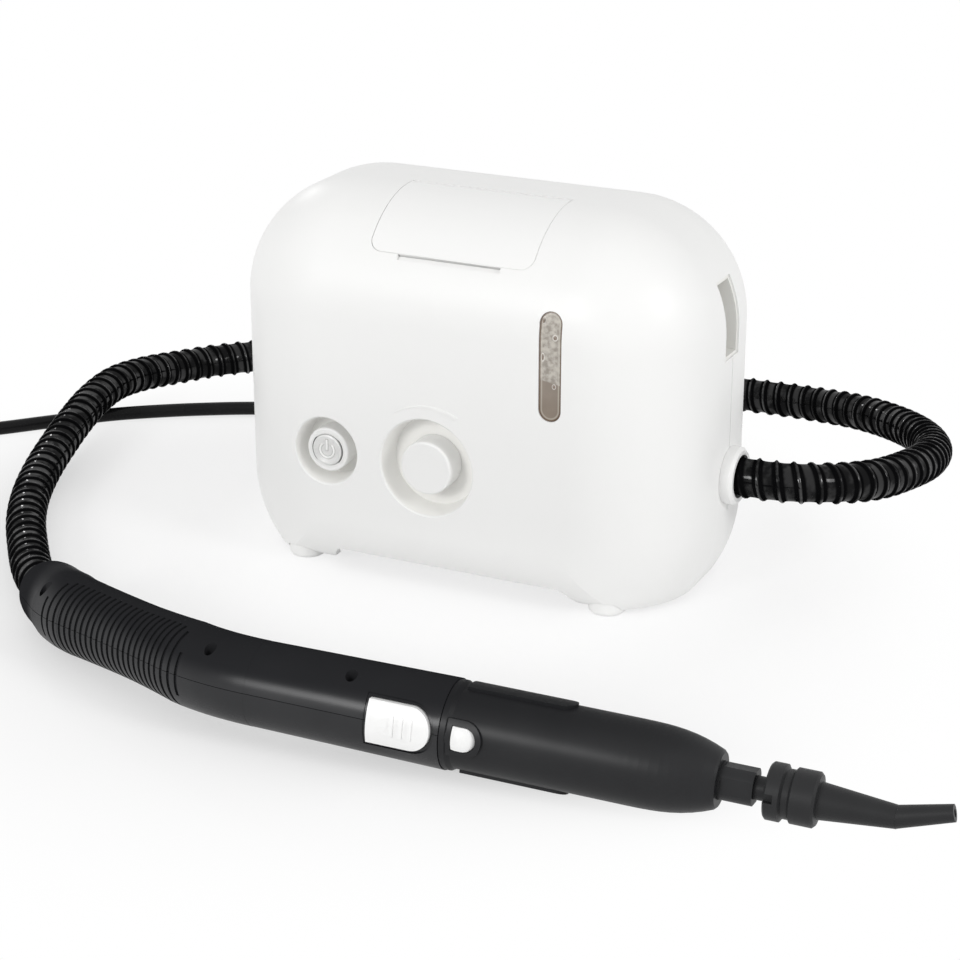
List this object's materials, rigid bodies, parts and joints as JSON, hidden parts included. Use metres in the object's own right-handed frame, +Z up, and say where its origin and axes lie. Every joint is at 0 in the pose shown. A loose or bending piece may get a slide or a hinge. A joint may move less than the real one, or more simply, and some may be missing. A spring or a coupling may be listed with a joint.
{
  "type": "portable steam cleaner",
  "caption": "Rounded white steam cleaner with hinged tank lid, steam knob and power button, a ribbed hose to a handset with trigger and bent nozzle, and a mains cord.",
  "frame": {"origin": "on the floor, in the middle between the feet, under the middle of the housing", "axes": "+X to the right as seen from the front, +Y to the rear (the controls face -Y), +Z up"},
  "size_m": [0.7417, 0.4919, 0.184],
  "materials": {
    "white_plastic": "satin moulded white",
    "grey_plastic": "matte moulded grey",
    "tank_plastic": "matte greyish beige",
    "smoky_window": "smoky see-through",
    "silver_plastic": "silvery, polished",
    "dark_plastic": "matte dark grey",
    "black_plastic": "satin charcoal black",
    "hose_black": "glossy black",
    "cord_black": "satin black",
    "tie_black": "woven black",
    "pale_tube": "pale silicone",
    "seal_red": "red silicone",
    "board_green": "lacquered board",
    "bright_steel": "bright steel",
    "cast_aluminium": "cast, unpolished",
    "pipe_metal": "drawn pipe"
  },
  "bodies": {
    "housing": {"front_shell": "white_plastic", "rear_shell": "white_plastic", "base_plate": "grey_plastic", "feet": "white_plastic", "shell_screws": "bright_steel", "lid_pin": "bright_steel", "water_tank": "tank_plastic", "tank_window": "smoky_window", "power_bezel": "white_plastic", "power_switch": "dark_plastic", "steam_regulator": "dark_plastic", "control_board": "board_green", "pump": "dark_plastic", "boiler": "cast_aluminium", "thermostats": "bright_steel", "water_tubes": "pale_tube", "steam_pipe": "pipe_metal", "strap_pockets": "tank_plastic", "strap_bars": "bright_steel", "hose_collar": "white_plastic", "steam_hose": "hose_black", "cord_gland": "black_plastic", "mains_cord": "cord_black", "cord_coil": "cord_black", "cord_tie": "tie_black", "plug": "cord_black", "handle_upper_half": "black_plastic", "handle_lower_half": "black_plastic", "handle_screws": "bright_steel", "trigger_switch": "dark_plastic", "steam_tube": "pale_tube", "barrel": "black_plastic", "release_latch": "dark_plastic", "outlet_stub": "black_plastic", "nozzle_seal": "seal_red"},
    "lid": {"lid": "white_plastic"},
    "power_button": {"power_button": "silver_plastic"},
    "steam_knob": {"steam_knob": "white_plastic"},
    "trigger": {"trigger_button": "white_plastic"},
    "release": {"release_button": "white_plastic"},
    "nozzle": {"nozzle": "black_plastic"}
  },
  "joints": [
    {"name": "lid_hinge", "type": "hinge", "parent": "housing", "child": "lid", "pos_m": [0, -0.01, 0.18185], "axis": [-1, 0, 0], "range_deg": [0, 92]},
    {"name": "power_press", "type": "slide", "parent": "housing", "child": "power_button", "axis": [0, 1, 0], "range_m": [0, 0.0018], "stiffness_N_per_m": 600, "springref_m": -0.002},
    {"name": "knob_turn", "type": "hinge", "parent": "housing", "child": "steam_knob", "pos_m": [-0.0055, -0.057, 0.0627], "axis": [0, 1, 0], "range_deg": [0, 270]},
    {"name": "trigger_press", "type": "slide", "parent": "housing", "child": "trigger", "axis": [-0.0871, 0.9771, -0.1941], "range_m": [0, 0.0024], "stiffness_N_per_m": 600, "springref_m": -0.002},
    {"name": "release_press", "type": "slide", "parent": "housing", "child": "release", "axis": [-0.0871, 0.9771, -0.1941], "range_m": [0, 0.002], "stiffness_N_per_m": 600, "springref_m": -0.002},
    {"name": "nozzle_twist", "type": "hinge", "parent": "housing", "child": "nozzle", "pos_m": [0.21548, -0.20567, 0.01593], "axis": [0.996, 0.0819, -0.0349], "range_deg": [0, 60]}
  ]
}
